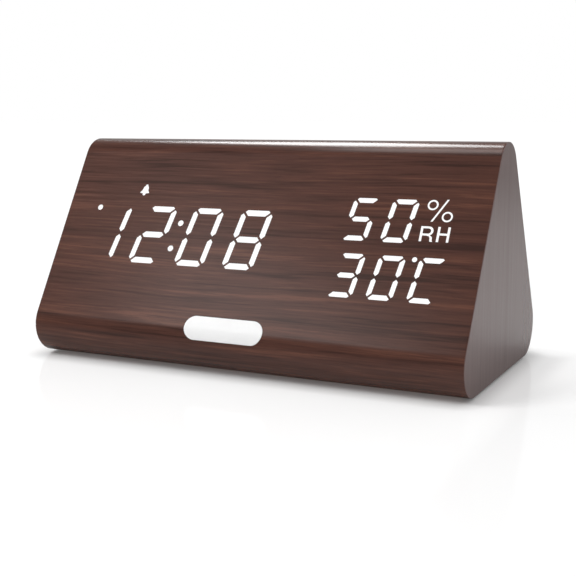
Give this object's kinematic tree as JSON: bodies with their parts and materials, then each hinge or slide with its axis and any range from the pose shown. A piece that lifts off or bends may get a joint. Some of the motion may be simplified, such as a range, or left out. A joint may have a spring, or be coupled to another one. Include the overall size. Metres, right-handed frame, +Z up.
{
  "type": "wooden digital clock",
  "caption": "Triangular wood-grain desk clock with lit digits for time, humidity and temperature, press buttons and power socket at the rear, and a battery door underneath.",
  "frame": {"origin": "middle of the surface the clock stands on, under the centre of its box", "axes": "+Z up, the display faces -Y, +X to the right of someone reading it"},
  "size_m": [0.15, 0.0762, 0.0718],
  "materials": {
    "wood_film": "dark walnut grain film, satin lacquer",
    "mdf": "raw fibreboard",
    "black_plastic": "fine satin moulding",
    "light_guide": "lit white diffuser",
    "circuit_board": "solder-masked board",
    "steel": "plated screw",
    "nickel": "nickel plate",
    "rubber": "soft matt rubber",
    "label": "plain pale label",
    "cell_jacket": "plain printed jacket, unlettered",
    "cable": "grey ribbon"
  },
  "bodies": {
    "housing": {"wooden_body": "mdf", "left_end_panel": "mdf", "right_end_panel": "mdf", "grain_wrap": "wood_film", "left_end_veneer": "wood_film", "right_end_veneer": "wood_film", "badge_plate": "label", "front_ribbon_socket": "label", "rear_ribbon_socket": "label", "time_display_case": "black_plastic", "climate_display_case": "black_plastic", "control_bracket": "black_plastic", "set_switch": "black_plastic", "up_switch": "black_plastic", "down_switch": "black_plastic", "dc_jack": "black_plastic", "sensor_grille": "black_plastic", "climate_sensor": "black_plastic", "buzzer": "black_plastic", "backup_cell_holder": "black_plastic", "base_plate": "black_plastic", "time_light_guide": "light_guide", "climate_light_guide": "light_guide", "display_board": "circuit_board", "control_board": "circuit_board", "display_screw_1": "steel", "display_screw_2": "steel", "display_screw_3": "steel", "display_screw_4": "steel", "control_screw_1": "steel", "control_screw_2": "steel", "base_screw_1": "steel", "base_screw_2": "steel", "base_screw_3": "steel", "base_screw_4": "steel", "backup_cell": "steel", "microphone": "nickel", "negative_contact": "nickel", "right_bridge_contact": "nickel", "left_bridge_contact": "nickel", "positive_contact": "nickel", "front_left_foot": "rubber", "front_right_foot": "rubber", "rear_left_foot": "rubber", "rear_right_foot": "rubber", "aaa_cell_1": "cell_jacket", "aaa_cell_2": "cell_jacket", "aaa_cell_3": "cell_jacket", "ribbon_cable": "cable"},
    "set_key": {"set_button": "black_plastic", "set_plunger": "nickel"},
    "up_key": {"up_button": "black_plastic", "up_plunger": "nickel"},
    "down_key": {"down_button": "black_plastic", "down_plunger": "nickel"},
    "door": {"battery_door": "black_plastic"}
  },
  "joints": [
    {"name": "set_press", "type": "slide", "parent": "housing", "child": "set_key", "axis": [0, -0.8905, -0.4549], "range_m": [0, 0.0005], "stiffness_N_per_m": 600, "springref_m": -0.0003},
    {"name": "up_press", "type": "slide", "parent": "housing", "child": "up_key", "axis": [0, -0.8905, -0.4549], "range_m": [0, 0.0005], "stiffness_N_per_m": 600, "springref_m": -0.0003},
    {"name": "down_press", "type": "slide", "parent": "housing", "child": "down_key", "axis": [0, -0.8905, -0.4549], "range_m": [0, 0.0005], "stiffness_N_per_m": 600, "springref_m": -0.0003},
    {"name": "door_tilt", "type": "hinge", "parent": "housing", "child": "door", "pos_m": [0.0275, 0, 0.0005], "axis": [0, -1, 0], "range_deg": [0, 30]}
  ]
}
